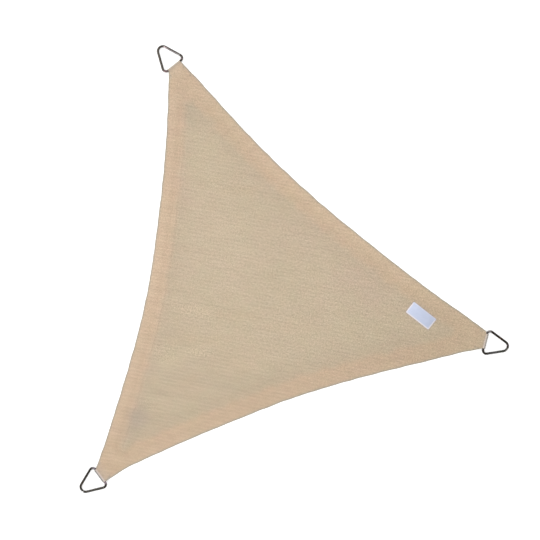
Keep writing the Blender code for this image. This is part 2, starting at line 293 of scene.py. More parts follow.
# Patches: soft ovals, and what they multiply the colour by, or its red, green and blue
ROSIER = (1.01, 0.995, 0.985)
BLUER = (1.003, 0.989, 1.003)
PATCHES = table(
    "x y length width turn change",
    # the corners
    (-0.636, -0.356, 0.056, 0.050, 40, (0.870, 0.890, 0.955)),
    (-0.812, -0.478, 0.070, 0.060, 18, (1.026, 1.024, 1.022)),
    (-0.702, -0.427, 0.055, 0.042, 60, (0.935, 0.945, 0.945)),
    (-0.592, -0.352, 0.110, 0.062, 0, (0.984, 0.974, 0.966)),
    (0.012, 0.838, 0.066, 0.046, 110, (0.948, 0.960, 0.970)),
    (-0.014, 0.880, 0.070, 0.024, 98, (0.970, 0.978, 0.970)),
    # painted light that lifts the shade on the cloth's slope over the top strap
    (0.0151, 1.0457, 0.028, 0.060, 110, (1.115, 1.130, 1.150)),
    (0.0350, 0.9912, 0.070, 0.080, 110, (0.970, 0.970, 0.965)),
    (0.004, 0.949, 0.032, 0.034, 20, (0.945, 0.945, 0.950)),
    # painted light that lifts the shade on the cloth's slope over the left strap
    (-0.8640, -0.5411, 0.026, 0.060, 198, (1.050, 1.090, 1.160)),
    (0.8738, -0.4998, 0.080, 0.080, -32, (0.965, 0.985, 0.975)),
    (0.800, -0.460, 0.420, 0.230, -26, (0.955, 0.960, 0.950)),
    # painted shadow of the label on the cloth on its hem side
    (0.713, -0.297, 0.072, 0.010, -57, (0.950, 0.955, 0.965)),
    # light and dark places of the panel
    (-0.261, 0.011, 0.105, 0.030, -24, 1.042),
    (-0.300, -0.158, 0.093, 0.026, -1, 1.030),
    (-0.428, -0.180, 0.057, 0.035, -31, 1.032),
    (-0.141, -0.128, 0.115, 0.053, -27, 1.008),
    (-0.050, 0.223, 0.203, 0.203, -79, (1.034, 1.036, 1.043)),
    (0.003, 0.600, 0.097, 0.150, -19, 1.014),
    (-0.046, -0.011, 0.203, 0.053, -31, 1.006),
    (-0.382, -0.070, 0.079, 0.030, -29, 0.968),
    (-0.300, -0.283, 0.229, 0.062, -25, 0.970),
    (-0.459, -0.299, 0.150, 0.030, -31, 0.972),
    (-0.466, -0.362, 0.123, 0.022, -1, 1.015),
    (-0.549, -0.264, 0.070, 0.028, -31, 0.968),
    (0.540, 0.015, 0.120, 0.009, 114, (0.968, 0.970, 0.970)),
    (0.793, -0.405, 0.050, 0.022, 126, (0.968, 0.970, 0.975)),
    (-0.469, 0.030, 0.100, 0.012, -120, 0.972),
    # rosier and bluer places
    (0.109, 0.448, 0.079, 0.026, -19, ROSIER),
    (-0.079, -0.069, 0.110, 0.026, -19, ROSIER),
    (0.125, -0.194, 0.132, 0.026, -19, ROSIER),
    (-0.256, -0.126, 0.154, 0.026, -19, ROSIER),
    (-0.143, -0.271, 0.106, 0.075, -19, ROSIER),
    (-0.387, -0.305, 0.062, 0.062, -59, ROSIER),
    (-0.093, 0.400, 0.070, 0.079, -19, BLUER),
    (-0.209, 0.221, 0.066, 0.132, -19, BLUER),
    (0.153, 0.480, 0.115, 0.057, -39, BLUER),
    (0.164, 0.197, 0.097, 0.150, -19, BLUER),
    (0.417, 0.010, 0.308, 0.079, -61, BLUER),
    (0.436, -0.127, 0.115, 0.132, -19, BLUER),
)
ROSY_DRIFT = np.array([0.004, -0.003, 0.003])  # faint random changes over the whole cloth
LIGHT_DRIFT = 0.004
# Painted shade in thin darker lines along the creases, with how far the middle bows to the left
CREASE_SHADE_LINES = table(
    "start end bow",
    ((-0.251, 0.096), (-0.012, -0.050), 0.006),
    ((-0.064, -0.010), (0.207, -0.171), 0.004),
    ((0.039, -0.063), (0.374, -0.311), -0.004),
    ((-0.412, 0.061), (-0.250, -0.012), 0.0),
    ((-0.580, -0.244), (-0.291, -0.407), 0.003),
    ((-0.551, -0.213), (-0.321, -0.332), 0.0),
    ((-0.434, -0.061), (-0.279, -0.151), 0.0),
)
CREASE_SHADE_WIDTH = 4.5 * MM
CREASE_SHADE = 0.030
# The grain shows more along a band of the photograph: how high it runs (m above the origin), how steeply
# it falls to the right, how wide it is, and where it begins. It is weaker below a line at the lower left
GRAIN_PLAIN = 0.82
GRAIN_BAND = dict(more=0.30, up=0.07, fall=0.25, width=0.30, start=-0.25, fade=0.50)
GRAIN_LOW = dict(least=0.48, up=-0.47, fall=0.25, fade=0.30)
# And soft ovals where it shows more
GRAINY = table(
    "x y length width turn more",
    (-0.440, -0.120, 0.060, 0.035, -31, 0.75),
    (-0.286, -0.172, 0.060, 0.026, -20, 0.70),
    (-0.245, 0.005, 0.085, 0.034, -22, 0.55),
    (-0.586, -0.317, 0.040, 0.030, -20, 0.50),
    (0.082, 0.504, 0.120, 0.050, -19, 0.25),
)

# Colours of the label: its field, its border, how much both fade along it, how much less the border shows
# by the hem, and the painted shadow, with a bluish tinge, on the cloth just outside it
LABEL_FIELD = (0.475, 0.520, 0.655)
LABEL_EDGE = (0.65, 0.625, 0.67)
LABEL_FADE = 0.24
LABEL_BORDER_DULL = 0.72
LABEL_SHADOW_TINT = np.array([0.935, 0.935, 1.06])
LABEL_SHADOW_TINT_WIDTH = 8 * MM

# Colours of the straps and the thread. The fold round the bar has its own painted light: a highlight at the
# top corner, shade at the others, with how far out from the bar's middle it begins and how soon it is full
THREAD_TINT = (0.50, 0.40, 0.30)
WEBBING_TINTS = {"top": (0.480, 0.398, 0.315), "left": (0.61, 0.52, 0.465), "right": (0.57, 0.485, 0.415)}
STRAP_FOLD_PAINTED_LIGHT = {
    "top": dict(start=2.6 * MM, fade=1.6 * MM, tint=(0.97, 0.985, 0.96)),
    "left": dict(start=-2.4 * MM, fade=3.4 * MM, tint=(0.272, 0.256, 0.240)),
    "right": dict(start=-2.0 * MM, fade=3.4 * MM, tint=(0.355, 0.323, 0.292)),
}

# Colours of the wire, kept dark as painted reflection of dark surroundings and darker at some rings than
# others, and its painted highlights and tinted marks: place along the ring and reach (shares of its length,
# from the start of the right base corner), and side (-1 the inner, 1 the outer, 0 both)
STEEL_PAINTED_REFLECTIONS = {
    "top": (0.066, 0.058, 0.048),
    "left": (0.046, 0.041, 0.034),
    "right": (0.034, 0.030, 0.025),
}
STEEL_GLANCE = (0.45, 0.45, 0.45, 1.0)  # how much of the light it keeps when seen edge on
WELD_TINT = (0.22, 0.13, 0.17, 1.0)
RING_MARKS_AND_HIGHLIGHTS = table(
    "corner at reach side colour",
    # painted highlights along the inner side
    ("top", 0.118, 0.030, -1, (0.42, 0.40, 0.39)),
    ("top", 0.205, 0.075, -1, (0.30, 0.27, 0.275)),
    ("top", 0.305, 0.038, -1, (0.50, 0.40, 0.41)),
    ("top", 0.750, 0.028, 0, (0.18, 0.125, 0.125)),
    ("left", 0.020, 0.024, 0, (0.22, 0.19, 0.21)),
    ("left", 0.300, 0.045, -1, (0.070, 0.050, 0.030)),
    # painted highlight at the tip
    ("left", 0.405, 0.026, 1, (0.30, 0.30, 0.30)),
    ("left", 0.520, 0.070, 1, (0.11, 0.11, 0.105)),
    ("left", 0.785, 0.022, 0, (0.30, 0.23, 0.26)),
    ("right", 0.200, 0.080, 0, (0.085, 0.083, 0.080)),
    ("right", 0.285, 0.035, 0, (0.050, 0.055, 0.040)),
    # painted highlight at the tip
    ("right", 0.355, 0.028, 1, (0.50, 0.49, 0.47)),
    ("right", 0.560, 0.024, 0, (0.055, 0.030, 0.018)),
    ("right", 0.735, 0.024, 0, (0.22, 0.20, 0.20)),
)

# The floor, and the lights: how far to the right and up in the photograph, how high, how wide, and power
FLOOR_HALF = 40.0
LAMPS = {
    "key": dict(right=-3.6, up=2.7, high=7.4, size=4.5, power=190.0),
    "kicker": dict(right=-3.6, up=-4.9, high=3.6, size=1.0, power=60.0),
}
# The dome of sky: how bright, and how much brighter towards this side (right, up, high)
DOME_STRENGTH = 0.74
DOME_SLOPE = 0.5
DOME_TOWARDS = (-0.35, 0.30, 0.89)


# ---------------------------------------------------------------- short helpers


def ease(share):
    """0 to 1 with level ends."""
    share = np.clip(share, 0.0, 1.0)
    return share * share * (3 - 2 * share)


def bell(offset, width):
    """1 at no offset, falling softly to 0 on both sides."""
    return np.exp(-((offset / width) ** 2))


def unit(vectors):
    """The vectors at a length of 1."""
    return vectors / np.linalg.norm(vectors, axis=-1, keepdims=True)


def left_of(vectors):
    """The vectors on the ground, turned to their left by a right angle."""
    return np.stack([-vectors[..., 1], vectors[..., 0]], axis=-1)


def heading(degrees):
    """The direction at this angle, and the one to its left."""
    ahead = np.array([math.cos(math.radians(degrees)), math.sin(math.radians(degrees))])
    return ahead, left_of(ahead)


def placed(origin, degrees, ahead, left):
    """The places that lie this far ahead and to the left of an origin that faces this way."""
    ahead, left = np.asarray(ahead, float)[..., None], np.asarray(left, float)[..., None]
    along, aside = heading(degrees)
    return origin + ahead * along + left * aside


def seen_from(origin, degrees, points):
    """How far ahead and to the left of an origin that faces this way the points lie."""
    return [(points - origin) @ way for way in heading(degrees)]


def running(points):
    """How far along an open line each of its points lies."""
    return np.concatenate([[0.0], np.cumsum(np.linalg.norm(np.diff(points, axis=0), axis=1))])


def wander(along, seed, longest, shortest, waves=9):
    """A gentle random line between about -1 and 1, the same each run."""
    rng = np.random.default_rng(seed)
    lengths = rng.uniform(shortest, longest, waves)
    phases = rng.uniform(0, TAU, waves)
    return sum(np.sin(TAU * along / a + b) for a, b in zip(lengths, phases)) / math.sqrt(waves)


def mottle(points, seed, longest, shortest, waves=26):
    """Gentle random patches between about -1 and 1, the same each run."""
    rng = np.random.default_rng(seed)
    turns = rng.uniform(0, TAU, waves)
    sizes = rng.uniform(shortest, longest, waves)
    phases = rng.uniform(0, TAU, waves)
    along = points @ np.stack([np.cos(turns), np.sin(turns)])
    return np.cos(TAU * along / sizes + phases).sum(axis=1) / math.sqrt(waves)


def oval(points, x, y, length, width, turn):
    """How far out in an oval the points lie, squared: 0 at its middle and 1 on its rim."""
    ahead, left = seen_from((x, y), turn, points)
    return (ahead / length) ** 2 + (left / width) ** 2


def in_patch(points, *place):
    """1 at the middle of an oval patch, falling to 0 beyond its soft rim."""
    return np.exp(-(oval(points, *place) ** 1.6))


def bump_along(points, start, end, bow, width):
    """1 on a bowed line between two places, falling to 0 to its sides and at its ends."""
    way = np.subtract(end, start)
    length = np.linalg.norm(way)
    ahead = way / length
    share = (points - start) @ ahead / length
    off = (points - start) @ left_of(ahead) - 4 * bow * share * (1 - share)
    return ease(share / LINE_ENDS) * ease((1 - share) / LINE_ENDS) * bell(off, width)


# ---------------------------------------------------------------- the sail's plan, as in its solid


def in_corner(corner, out, left):
    """The places that lie this far outwards and to the left of a corner's bar."""
    return placed((corner["x"], corner["y"]), corner["heading"], out, left)


def edge_ends(edge):
    """Where the edge starts and ends, at the mouths of its corners."""
    start, end = CORNERS[edge["start"]], CORNERS[edge["end"]]
    return in_corner(start, -MOUTH, start["left"]), in_corner(end, -MOUTH, -end["right"])


def edge_points(edge, shares):
    """Points on a curved edge, by a smooth curve through the stations' sags."""
    start, end = edge_ends(edge)
    knots = np.array([0.0, *STATIONS, 1.0])
    sags = np.array([0.0, *edge["sag"], 0.0])
    slopes = np.gradient(sags, knots)
    piece = np.clip(np.searchsorted(knots, shares) - 1, 0, len(knots) - 2)
    width = knots[piece + 1] - knots[piece]
    t = (shares - knots[piece]) / width
    sag = (
        sags[piece] * (2 * t**3 - 3 * t**2 + 1)
        + slopes[piece] * width * (t**3 - 2 * t**2 + t)
        + sags[piece + 1] * (3 * t**2 - 2 * t**3)
        + slopes[piece + 1] * width * (t**3 - t**2)
    )
    return start + np.outer(shares, end - start) + np.outer(sag, left_of(unit(end - start)))


def hem_points(edge, shares):
    """Points on the hem's inner line, square in from the edge."""
    step = 1e-3
    ahead = edge_points(edge, shares + step) - edge_points(edge, shares - step)
    return edge_points(edge, shares) + edge["hem"] * left_of(unit(ahead))


def hem_reach(edge, end):
    """The share of the edge at which its hem's inner line meets the inner end of one of its corners."""
    corner = CORNERS[edge[end]]
    shares = np.linspace(0.01, 0.30, 200) if end == "start" else np.linspace(0.99, 0.70, 200)
    depth = hem_points(edge, shares) @ unit(np.array([corner["x"], corner["y"]]))
    return float(np.interp(-corner["hem"], -depth, shares))


def outline():
    """Matching points round the cloth's edge and the hem's inner line, and which of them is a mouth's."""
    shares = np.arange(EDGE_STEPS) / EDGE_STEPS
    mouth = np.arange(MOUTH_STEPS)[:, None] / MOUTH_STEPS
    outer, inner = [], []
    for number, edge in enumerate(EDGES):
        following = EDGES[(number + 1) % len(EDGES)]
        first, last = hem_reach(edge, "start"), hem_reach(edge, "end")
        outer_stop, outer_next = edge_ends(edge)[1], edge_ends(following)[0]
        inner_stop = hem_points(edge, np.array([last]))
        inner_next = hem_points(following, np.array([hem_reach(following, "start")]))
        wobble = EDGE_WOBBLE * wander(shares * EDGE_LENGTH, 40 + number, 0.14, 0.045)
        wobble *= ease(shares / EDGE_WOBBLE_ENDS) * ease((1 - shares) / EDGE_WOBBLE_ENDS)
        plain = edge_points(edge, shares)
        inward = unit(hem_points(edge, shares) - plain)
        outer += [plain + wobble[:, None] * inward, outer_stop + mouth * (outer_next - outer_stop)]
        inner += [
            hem_points(edge, first + shares * (last - first)),
            inner_stop + mouth * (inner_next - inner_stop),
        ]
    at_mouth = np.tile([False] * EDGE_STEPS + [True] * MOUTH_STEPS, len(EDGES))
    return np.concatenate(outer), np.concatenate(inner), at_mouth


class ClosedLine:
    """A closed line on the ground, counterclockwise, that tells how far points lie inside it."""

    def __init__(self, points):
        self.points = points
        self.steps = np.roll(points, -1, axis=0) - points
        self.lengths = np.linalg.norm(self.steps, axis=1)
        self.starts = np.concatenate([[0.0], np.cumsum(self.lengths)[:-1]])
        self.tree = KDTree(len(points))
        for number, place in enumerate(points):
            self.tree.insert((*place, 0.0), number)
        self.tree.balance()

    def nearest(self, points):
        """How far inside the line the points lie, and how far along it."""
        near = np.array([self.tree.find((x, y, 0.0))[1] for x, y in points])
        best, inside, along = np.full(len(points), np.inf), np.zeros(len(points)), np.zeros(len(points))
        for segment in (near, (near - 1) % len(self.points)):
            offset = points - self.points[segment]
            step, length = self.steps[segment], self.lengths[segment]
            share = np.clip((offset * step).sum(1) / length**2, 0, 1)
            gap = np.linalg.norm(offset - share[:, None] * step, axis=1)
            side = np.sign(step[:, 0] * offset[:, 1] - step[:, 1] * offset[:, 0])
            closer = gap < best
            best = np.where(closer, gap, best)
            inside = np.where(closer, gap * side, inside)
            along = np.where(closer, self.starts[segment] + share * length, along)
        return inside, along

    def offset(self, distance):
        """The line's own points moved inwards, without those that come too near another stretch."""
        after = unit(self.steps)
        moved = self.points + distance * left_of(unit(after + np.roll(after, 1, axis=0)))
        return moved[np.abs(self.nearest(moved)[0]) > 0.97 * abs(distance)]


OUTER, INNER, AT_MOUTH = outline()
EDGE_LINE = ClosedLine(OUTER)
HEM_LINE = ClosedLine(INNER)
HEM_STRETCH = HEM_LINE.starts[-1] / len(EDGES)  # about one edge's length


# ---------------------------------------------------------------- heights


def swell_height(points):
    """The low swells, which leave the cloth flat round the origin."""
    height = np.zeros(len(points))
    for *place, tall in SWELLS:
        height = np.maximum(height, tall * np.clip(1 - oval(points, *place), 0, 1) ** 2)
    return height * ease((np.linalg.norm(points, axis=1) - CALM_RADIUS) / CALM_FADE)


def ruffle_height(points):
    """Short waves across the hem."""
    inside, along = HEM_LINE.nearest(points)
    height = np.zeros(len(points))
    for number, tall in enumerate(RUFFLES):
        waves = wander(along, 60 + number, RUFFLE_LONGEST, RUFFLE_SHORTEST, 12)
        share = along / HEM_STRETCH - number
        ends = ease(share / RUFFLE_ENDS) * ease((1 - share) / RUFFLE_ENDS)
        height += tall * np.clip(waves + RUFFLE_RISE, 0, None) * ends
    return height * ease((RUFFLE_REACH - inside) / RUFFLE_FADE)


def lift(points):
    """How far the underside of the cloth stands off the ground."""
    height = swell_height(points)
    for *line, tall in CREASES:
        height += tall * bump_along(points, *line)
    for corner in CORNERS.values():
        for pull in PULLS:
            back, aside = heading(pull.turn)[0] * (-1, 1)
            ends = [in_corner(corner, far * back, far * aside) for far in (pull.start, pull.end)]
            height += pull.height * bump_along(points, *ends, 0.0, pull.width)
    height += ruffle_height(points)
    return (height + np.sqrt(height**2 + LIFT_SOFT**2)) / 2


def strap_top(back):
    """Height of the strap's upper side, this far back from the bar's middle."""
    touch_back = STRAP_RADIUS * math.sin(STRAP_SLOPE)
    touch_high = BAR_HEIGHT + STRAP_RADIUS * math.cos(STRAP_SLOPE)
    return np.interp(back, [touch_back, TAIL_START, TAIL_END], [touch_high, TAIL_HIGH, TAIL_HIGH])


def corner_rise(points):
    """How much higher than the hem the cloth's upper side is over the straps."""
    rise = np.zeros(len(points))
    for corner in CORNERS.values():
        out, left = seen_from((corner["x"], corner["y"]), corner["heading"], points)
        over = strap_top(-out) + GAP + LAYER - HEM_TOP
        over *= 1 - ease((-out - TAIL_END) / (BULGE_END - TAIL_END))
        over *= 1 - ease((np.abs(left - corner["shift"]) - BULGE_FULL) / (BULGE_NONE - BULGE_FULL))
        rise = np.where(-out < BULGE_END, np.maximum(rise, over), rise)
    return rise


def knit_place(points):
    """How far along and across the knit's rows the points lie."""
    return np.stack(seen_from((0, 0), KNIT_TURN, points), axis=1)


def upper_side(points, rows=True):
    """Height of the cloth's upper side."""
    inside, along = HEM_LINE.nearest(points)
    height = lift(points) + REST + LAYER
    height += (HEM_TOP - REST - LAYER) * ease((DRAPE - inside) / (2 * DRAPE))
    height += TURN_RISE * ease((inside + TURN_WIDTH + DRAPE) / DRAPE) * ease((DRAPE - inside) / DRAPE)
    drawn = GROOVE * (GROOVE_PLAIN + GROOVE_UNEVEN * wander(along, 80, 0.05, 0.015))
    for line in STITCH_LINES:
        height -= drawn * bell(inside - line, GROOVE_WIDTH)
    height += corner_rise(points)
    if rows:
        height += ROW_RELIEF * np.cos(TAU * knit_place(points)[:, 1] / ROW)
    return height


# ---------------------------------------------------------------- colours of the cloth


def label_distance(plan):
    """How far outside the label these places lie, below 0 inside it."""
    over = np.abs(np.stack(seen_from(LABEL_PLACE, LABEL_TURN, plan), 1)) - np.array(LABEL_SIZE) / 2
    return np.linalg.norm(np.clip(over, 0, None), axis=1) + np.minimum(over.max(axis=1), 0)


def bands(rows, inside, edge):
    """How strongly each band shows at each place, and its change of colour at that place's edge."""
    return [
        (bell(inside - MM * np.array(at)[edge], MM * width), np.array(change)[edge])
        for at, width, change in rows
    ]


def cloth_tint(plan):
    """The cloth's colour without its knit, with painted light and shade beside its hems, edge, creases,
    straps and label.
    """
    inside_hem, along = HEM_LINE.nearest(plan)
    inside_edge, along_edge = EDGE_LINE.nearest(plan)
    share = along / HEM_STRETCH % len(EDGES)
    edge = np.clip(share.astype(int), 0, len(EDGES) - 1)
    share -= edge

    inside_fade = inside_hem + HEM_FADE_WANDER * wander(along, 32, 0.160, 0.045)
    hem = 1 - ease((inside_fade - HEM_FADE[0]) / (HEM_FADE[1] - HEM_FADE[0]))
    blend = ease((share - 1 + HEM_MEET) / HEM_MEET)[:, None]
    hem_tint = HEM_TINTS[edge] * (1 - blend) + HEM_TINTS[(edge + 1) % len(EDGES)] * blend
    colour = PANEL_TINT + (hem_tint - PANEL_TINT) * hem[:, None]

    # painted shade, partly grime, along the turned edge, weaker at the mouths
    rim = ease((EDGE_SHADE_AND_GRIME_REACH - inside_edge) / EDGE_SHADE_AND_GRIME_FADE)
    at_mouth = np.interp(along_edge, EDGE_LINE.starts, AT_MOUTH.astype(float))
    rim *= 1 - (1 - EDGE_SHADE_AND_GRIME_AT_MOUTH) * at_mouth
    beyond = label_distance(plan)
    # painted shadow round the label, with a bluish tinge
    label_shadow = (beyond > -2 * MM) * ease((LABEL_SHADOW_TINT_WIDTH - beyond) / LABEL_SHADOW_TINT_WIDTH)

    # some hem bands hold painted light and shade beside the hem; the edge bands hold painted shade, partly
    # grime, along the edge
    changes = bands(HEM_BANDS, inside_hem, edge) + bands(EDGE_BANDS, inside_edge, edge)
    changes += [(hem * (edge == at_edge) * bell(share - at, width), change)
                for at_edge, at, width, change in HEM_LENGTHS]
    changes += [(hem * wander(along, 31, 0.090, 0.030), HEM_UNEVEN[edge][:, None])]
    changes += [(rim, EDGE_SHADE_AND_GRIME - 1), (label_shadow, LABEL_SHADOW_TINT - 1)]
    changes += [(in_patch(plan, *place), np.subtract(change, 1)) for *place, change in PATCHES]
    # painted shade along the creases
    changes += [(bump_along(plan, *line, CREASE_SHADE_WIDTH), -CREASE_SHADE) for line in CREASE_SHADE_LINES]
    for within, change in changes:
        colour = colour * (1 + within[:, None] * change)
    rosy, light = mottle(plan, 7, 0.42, 0.12)[:, None], mottle(plan, 11, 0.60, 0.16)[:, None]
    return np.clip(colour * (1 + rosy * ROSY_DRIFT + light * LIGHT_DRIFT), 0, 1)


def grain_share(plan):
    """How strongly the knit's grain shows: most right of the middle, least at the lower left."""
    right, up = seen_from((0, 0), -PHOTO_TURN, plan)
    band, low = GRAIN_BAND, GRAIN_LOW
    within = bell(up - band["up"] + band["fall"] * np.clip(right, 0, None), band["width"])
    share = GRAIN_PLAIN + band["more"] * within * ease((right - band["start"]) / band["fade"])
    above = ease((up - low["up"] + low["fall"] * right) / low["fade"])
    share *= low["least"] + (1 - low["least"]) * above
    return share + sum(more * in_patch(plan, *place) for *place, more in GRAINY)


# ---------------------------------------------------------------- meshes


def add_object(name, data):
    """An object of its own in the scene."""
    item = bpy.data.objects.new(name, data)
    bpy.context.scene.collection.objects.link(item)
    return item


def make_piece(name, vertices, faces, material, sharp=None):
    """A smooth piece of the sail, with creases where its faces meet at more than the sharp angle."""
    mesh = bpy.data.meshes.new(name)
    mesh.from_pydata([tuple(v) for v in vertices], [], faces)
    mesh.validate()
    mesh.shade_smooth()
    if sharp:
        mesh.set_sharp_from_angle(angle=math.radians(sharp))
    piece = add_object(name, mesh)
    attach(piece, "root")
    mesh.materials.append(material)
    return piece


def store(piece, name, values):
    """Keeps a number, or two or three, for each of a piece's points, for its material to read."""
    count = len(values)
    if values.ndim == 1:
        kind, key = "FLOAT", "value"
    else:
        kind, key = "FLOAT_COLOR", "color"
        values = np.column_stack([values, np.zeros((count, 3 - values.shape[1])), np.ones(count)])
    attribute = piece.data.attributes.new(name, kind, "POINT")
    attribute.data.foreach_set(key, values.astype(np.float32).ravel())


def between(one, other, where=slice(None)):
    """Four-sided faces between two closed rows of points."""
    return np.stack([one, np.roll(one, -1), np.roll(other, -1), other], axis=1)[where].tolist()


def triangles_within(loop, extra):
    """Triangles that fill a closed loop of points, through the extra points inside it."""
    points = np.concatenate([loop, extra])
    edges = [(i, (i + 1) % len(loop)) for i in range(len(loop))]
    inside_only = 1
    made, _, faces, kept, _, _ = delaunay_2d_cdt([Vector(p) for p in points], edges, [], inside_only, 1e-7)
    if len(made) != len(points):
        raise ValueError("the cloth's outline crosses itself")
    return points, [tuple(kept[i][0] for i in face) for face in faces]


def lattice(across_step, along_step, keep):
    """Points in rows along the knit, where keep says."""
    rows, columns = (
        np.arange(-int(LATTICE_REACH / step), int(LATTICE_REACH / step) + 1)
        for step in (across_step, along_step)
    )
    row, column = np.meshgrid(rows, columns, indexing="ij")
    plan = placed((0, 0), KNIT_TURN, (column + 0.5 * (row % 2)) * along_step, row * across_step)
    plan = plan.reshape(-1, 2)
    return plan[keep(plan)]


def sheet_points():
    """Plan points of the sheet's upper side: those round its rim, and those inside it."""
    inset = unit(INNER - OUTER)
    mouth_starts = AT_MOUTH & ~np.roll(AT_MOUTH, 1)
    inset[mouth_starts] = np.roll(inset, 1, axis=0)[mouth_starts]
    high = upper_side(OUTER, rows=False) - lift(OUTER) - REST
    bulge = np.where(AT_MOUTH & ~mouth_starts, 0.0, np.clip(high / 2, 0, FOLD_BULGE))

    def open_cloth(plan):
        """True for places that are clear of the hem's line and of the edge."""
        inside_hem, inside_edge = HEM_LINE.nearest(plan)[0], EDGE_LINE.nearest(plan)[0]
        beside = (inside_hem < HEM_LINES[0] - 2.5 * MM) | (inside_hem > HEM_LINES[-1] + LATTICE_CLEAR)
        return beside & (inside_edge > EDGE_LINES[-1] + LATTICE_CLEAR)

    lines = [HEM_LINE.offset(q) for q in HEM_LINES] + [EDGE_LINE.offset(q) for q in EDGE_LINES]
    lines = np.concatenate(lines)
    lines = lines[EDGE_LINE.nearest(lines)[0] > EDGE_LINES[0] - 0.1 * MM]
    inner = np.concatenate([lattice(COURSE, LATTICE_ALONG, open_cloth), lines])
    return OUTER + inset * bulge[:, None], inner


def panel_underside():
    """Points and triangles of the panel's underside, which comes down to the ground inside the hem."""
    sparse = lattice(2 * COURSE, 2 * LATTICE_ALONG, lambda p: HEM_LINE.nearest(p)[0] > PANEL_CLEAR)
    lines = [HEM_LINE.offset(q) for q in PANEL_LINES]
    plan, faces = triangles_within(INNER, np.concatenate([sparse, *lines]))
    deep, ground = HEM_LINE.nearest(plan)[0], lift(plan) + REST
    height = np.where(deep < DRAPE, upper_side(plan, rows=False) - LAYER, ground)
    height = np.minimum(height, ground + LAYER * 1.1 * (1 - ease(deep / DRAPE)))
    return plan, height, faces


class Sheet:
    """The cloth's points and faces, made row by row round its rim."""

    def __init__(self, rim, inner):
        """Starts with the upper side, from the points round its rim and those inside it."""
        plan, self.faces = triangles_within(rim, inner)
        self.rim, self.vertices, self.unfolded = rim, [], []
        self.add(plan, upper_side(plan))

    def add(self, places, height, flat=None):
        """Adds points, with the knit of where they lay in the flat cloth, and says their numbers."""
        first = sum(map(len, self.unfolded))
        self.vertices.append(np.column_stack([places, height]))
        self.unfolded.append(places if flat is None else flat)
        return np.arange(first, first + len(places))

    def fold(self, spread, thick, steps):
        """Adds rows of points round the fold, from its upper to its lower end."""
        top, ground = upper_side(self.rim, rows=False), lift(self.rim) + REST
        middle, half = (top + ground) / 2, (top - ground) / 2 - thick
        rows = []
        for step in steps:
            angle = math.pi * step / FOLD_STEPS
            places = self.rim + (OUTER - self.rim) * math.sin(angle) * spread
            rows.append(self.add(places, middle + half * math.cos(angle)))
        return rows

    def across_hem(self, shares, height, turned=True):
        """Adds rows of points from the sheet's rim (0) to the hem's inner line (1)."""
        rows = []
        for share in shares:
            places = self.rim + share * (INNER - self.rim)
            flat = OUTER + share * (OUTER - INNER) if turned else None
            rows.append(self.add(places, height(places), flat))
        return rows

    def cover(self, rows, where=slice(None)):
        """Adds the faces that join each row to the next."""
        for one, other in zip(rows, rows[1:]):
            self.faces += between(other, one, where)

    def close_ends(self, outside, inside):
        """Adds the cut ends of the folded edge, at both sides of each mouth."""
        for station in np.flatnonzero(AT_MOUTH != np.roll(AT_MOUTH, 1)):
            for step in range(FOLD_STEPS):
                cap = (outside[step][station], outside[step + 1][station],
                       inside[step + 1][station], inside[step][station])
                self.faces.append(cap[::-1] if AT_MOUTH[station - 1] else cap)


def make_cloth(material):
    """One sheet: upper side, fold at the edge, turned-under hem and the panel's underside."""
    sheet = Sheet(*sheet_points())
    size = len(sheet.rim)
    outside = [np.arange(size)] + sheet.fold(1.0, 0.0, range(1, FOLD_STEPS))
    inside = sheet.fold(FOLD_INSIDE, LAYER, range(FOLD_STEPS + 1))
    lower = sheet.across_hem(UNDER_SHARES, lambda p: lift(p) + REST)
    outside.append(lower[0])
    end = sheet.across_hem((1.0,), lambda p: lift(p) + REST + LAYER / 2)
    hidden_upper = sheet.across_hem((0.985, 0.6, 0.25), lambda p: lift(p) + REST + LAYER)
    hidden_under = sheet.across_hem((0.25, 0.6, 0.9), lambda p: upper_side(p, rows=False) - LAYER, False)
    plan, height, faces = panel_underside()
    under = sheet.add(plan, height)
    sheet.faces += [tuple(under[i] for i in reversed(face)) for face in faces]

    sheet.cover(outside, ~AT_MOUTH)
    sheet.cover(inside[::-1], ~AT_MOUTH)
    sheet.cover([outside[0], inside[0]], AT_MOUTH)
    sheet.cover([inside[-1], lower[0]], AT_MOUTH)
    sheet.cover(lower + end + hidden_upper + [inside[-1]])
    sheet.cover([inside[0]] + hidden_under + [under[:size]])
    sheet.close_ends(outside, inside)

    vertices = np.concatenate(sheet.vertices)
    cloth = make_piece("sail_sheet", vertices, sheet.faces, material, sharp=60)
    store(cloth, "knit", knit_place(np.concatenate(sheet.unfolded)))
    store(cloth, "tint", cloth_tint(vertices[:, :2]))
    store(cloth, "grain", grain_share(vertices[:, :2]))
    return cloth


# ---------------------------------------------------------------- straps, rings, label, thread


def strap_path(slack):
    """The strap's middle line from its side, out is X and up is Y, from its lower to its upper tail."""
    radius = STRAP_RADIUS - STRAP_THICK / 2
    low, high = TAIL_LOW + STRAP_THICK / 2, TAIL_HIGH - STRAP_THICK / 2
    path = [(out, low) for out in np.linspace(-TAIL_END, -TAIL_NEAR, 9)]
    path += [(-8.0 * MM, low - 0.25 * MM), (-5.0 * MM, low - 0.75 * MM)]
    path += [
        (radius * math.cos(a) + (slack if math.cos(a) > 0 else 0), BAR_HEIGHT + radius * math.sin(a))
        for a in np.linspace(-math.pi / 2 - STRAP_UNDER, math.pi / 2 + STRAP_SLOPE, STRAP_ROUND_STEPS)
    ]
    start, stop = np.array(path[-1]), np.array([-TAIL_START, high])
    path += [start + (stop - start) * share for share in (0.2, 0.4, 0.6, 0.8, 0.93)]
    path += [(out, high) for out in np.linspace(-TAIL_START, -TAIL_END, 5)[1:]]
    return np.array(path)


